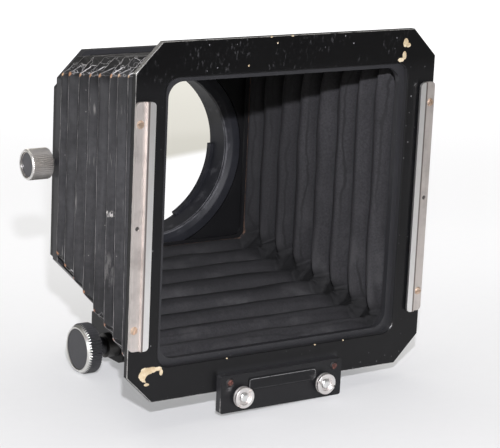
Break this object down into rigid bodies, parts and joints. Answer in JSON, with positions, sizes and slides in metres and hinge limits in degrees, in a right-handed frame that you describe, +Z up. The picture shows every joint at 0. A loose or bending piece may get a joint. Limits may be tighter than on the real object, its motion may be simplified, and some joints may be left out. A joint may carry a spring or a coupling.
{
  "type": "bellows lens hood",
  "caption": "Square bellows lens hood: a front frame on guide rods slides on a rear standard with a turning bayonet ring, mask rails, a lock knob and a ring clamp.",
  "frame": {"origin": "lens axis at the rear face of the bayonet plate", "axes": "+Y along the lens axis towards the camera, +Z up, +X to the right seen from the front"},
  "size_m": [0.11, 0.0944, 0.1198],
  "materials": {
    "black_paint": "semi-gloss, worn at the edges",
    "nickel": "satin",
    "brass": "dull",
    "brown_screw": "tarnished",
    "dark_steel": "oxidised",
    "label": "satin black with a plain outline",
    "bellows_cloth": "grained leathercloth outside, matt cloth inside",
    "bright_metal": "satin",
    "black_anodised": "semi-gloss"
  },
  "bodies": {
    "rear_standard": {"rear_frame": "black_paint", "back_plate": "black_paint", "back_plate_screws": "dark_steel", "rear_card": "black_paint", "bellows": "bellows_cloth", "slide_block": "black_paint", "block_screws": "dark_steel", "front_bushes": "brass", "rear_bushes": "brass", "lock_boss": "bright_metal"},
    "front_standard": {"front_frame": "black_paint", "left_mask_rail": "nickel", "right_mask_rail": "nickel", "rail_screws": "brass", "rail_pins": "dark_steel", "front_bracket": "black_paint", "bracket_screws": "brown_screw", "label_plate": "label", "left_guide_rod": "nickel", "right_guide_rod": "nickel", "left_rod_nut": "nickel", "right_rod_nut": "nickel", "rod_stops": "dark_steel", "front_card": "black_paint"},
    "ring_group": {"lens_ring": "black_anodised", "bayonet_plate": "black_anodised", "bayonet_screws": "dark_steel", "ring_retainer": "black_anodised"},
    "lock_pad_group": {"lock_pad": "brass"},
    "lock_knob_group": {"lock_screw": "bright_metal", "lock_knob": "black_anodised", "lock_knob_cap": "black_anodised"},
    "clamp_shoe_group": {"clamp_shoe": "brass"},
    "clamp_knob_group": {"clamp_screw": "bright_metal", "clamp_knob": "bright_metal", "clamp_knob_cap": "black_anodised"}
  },
  "joints": [
    {"name": "front_slide", "type": "slide", "parent": "rear_standard", "child": "front_standard", "axis": [0, 1, 0], "range_m": [0, 0.044], "deforming": ["bellows"]},
    {"name": "ring_turn", "type": "hinge", "parent": "rear_standard", "child": "ring_group", "pos_m": [0, 0, 0], "axis": [0, 1, 0], "continuous": true},
    {"name": "lock_pad_slide", "type": "slide", "parent": "rear_standard", "child": "lock_pad_group", "axis": [-1, 0, 0], "range_m": [0, 0.0014]},
    {"name": "lock_knob_turn", "type": "hinge", "parent": "lock_pad_group", "child": "lock_knob_group", "pos_m": [-0.03, -0.028, -0.0591], "axis": [-1, 0, 0], "range_deg": [0, 720]},
    {"name": "clamp_shoe_slide", "type": "slide", "parent": "rear_standard", "child": "clamp_shoe_group", "axis": [-1, 0, 0], "range_m": [0, 0.001]},
    {"name": "clamp_knob_turn", "type": "hinge", "parent": "clamp_shoe_group", "child": "clamp_knob_group", "pos_m": [-0.045, -0.0093, 0], "axis": [-1, 0, 0], "range_deg": [0, 720]}
  ],
  "couplings": [
    {"joint": "lock_pad_slide", "follows": "lock_knob_turn", "m_per_rad": 0.0001114},
    {"joint": "clamp_shoe_slide", "follows": "clamp_knob_turn", "m_per_rad": 0.00007957}
  ]
}
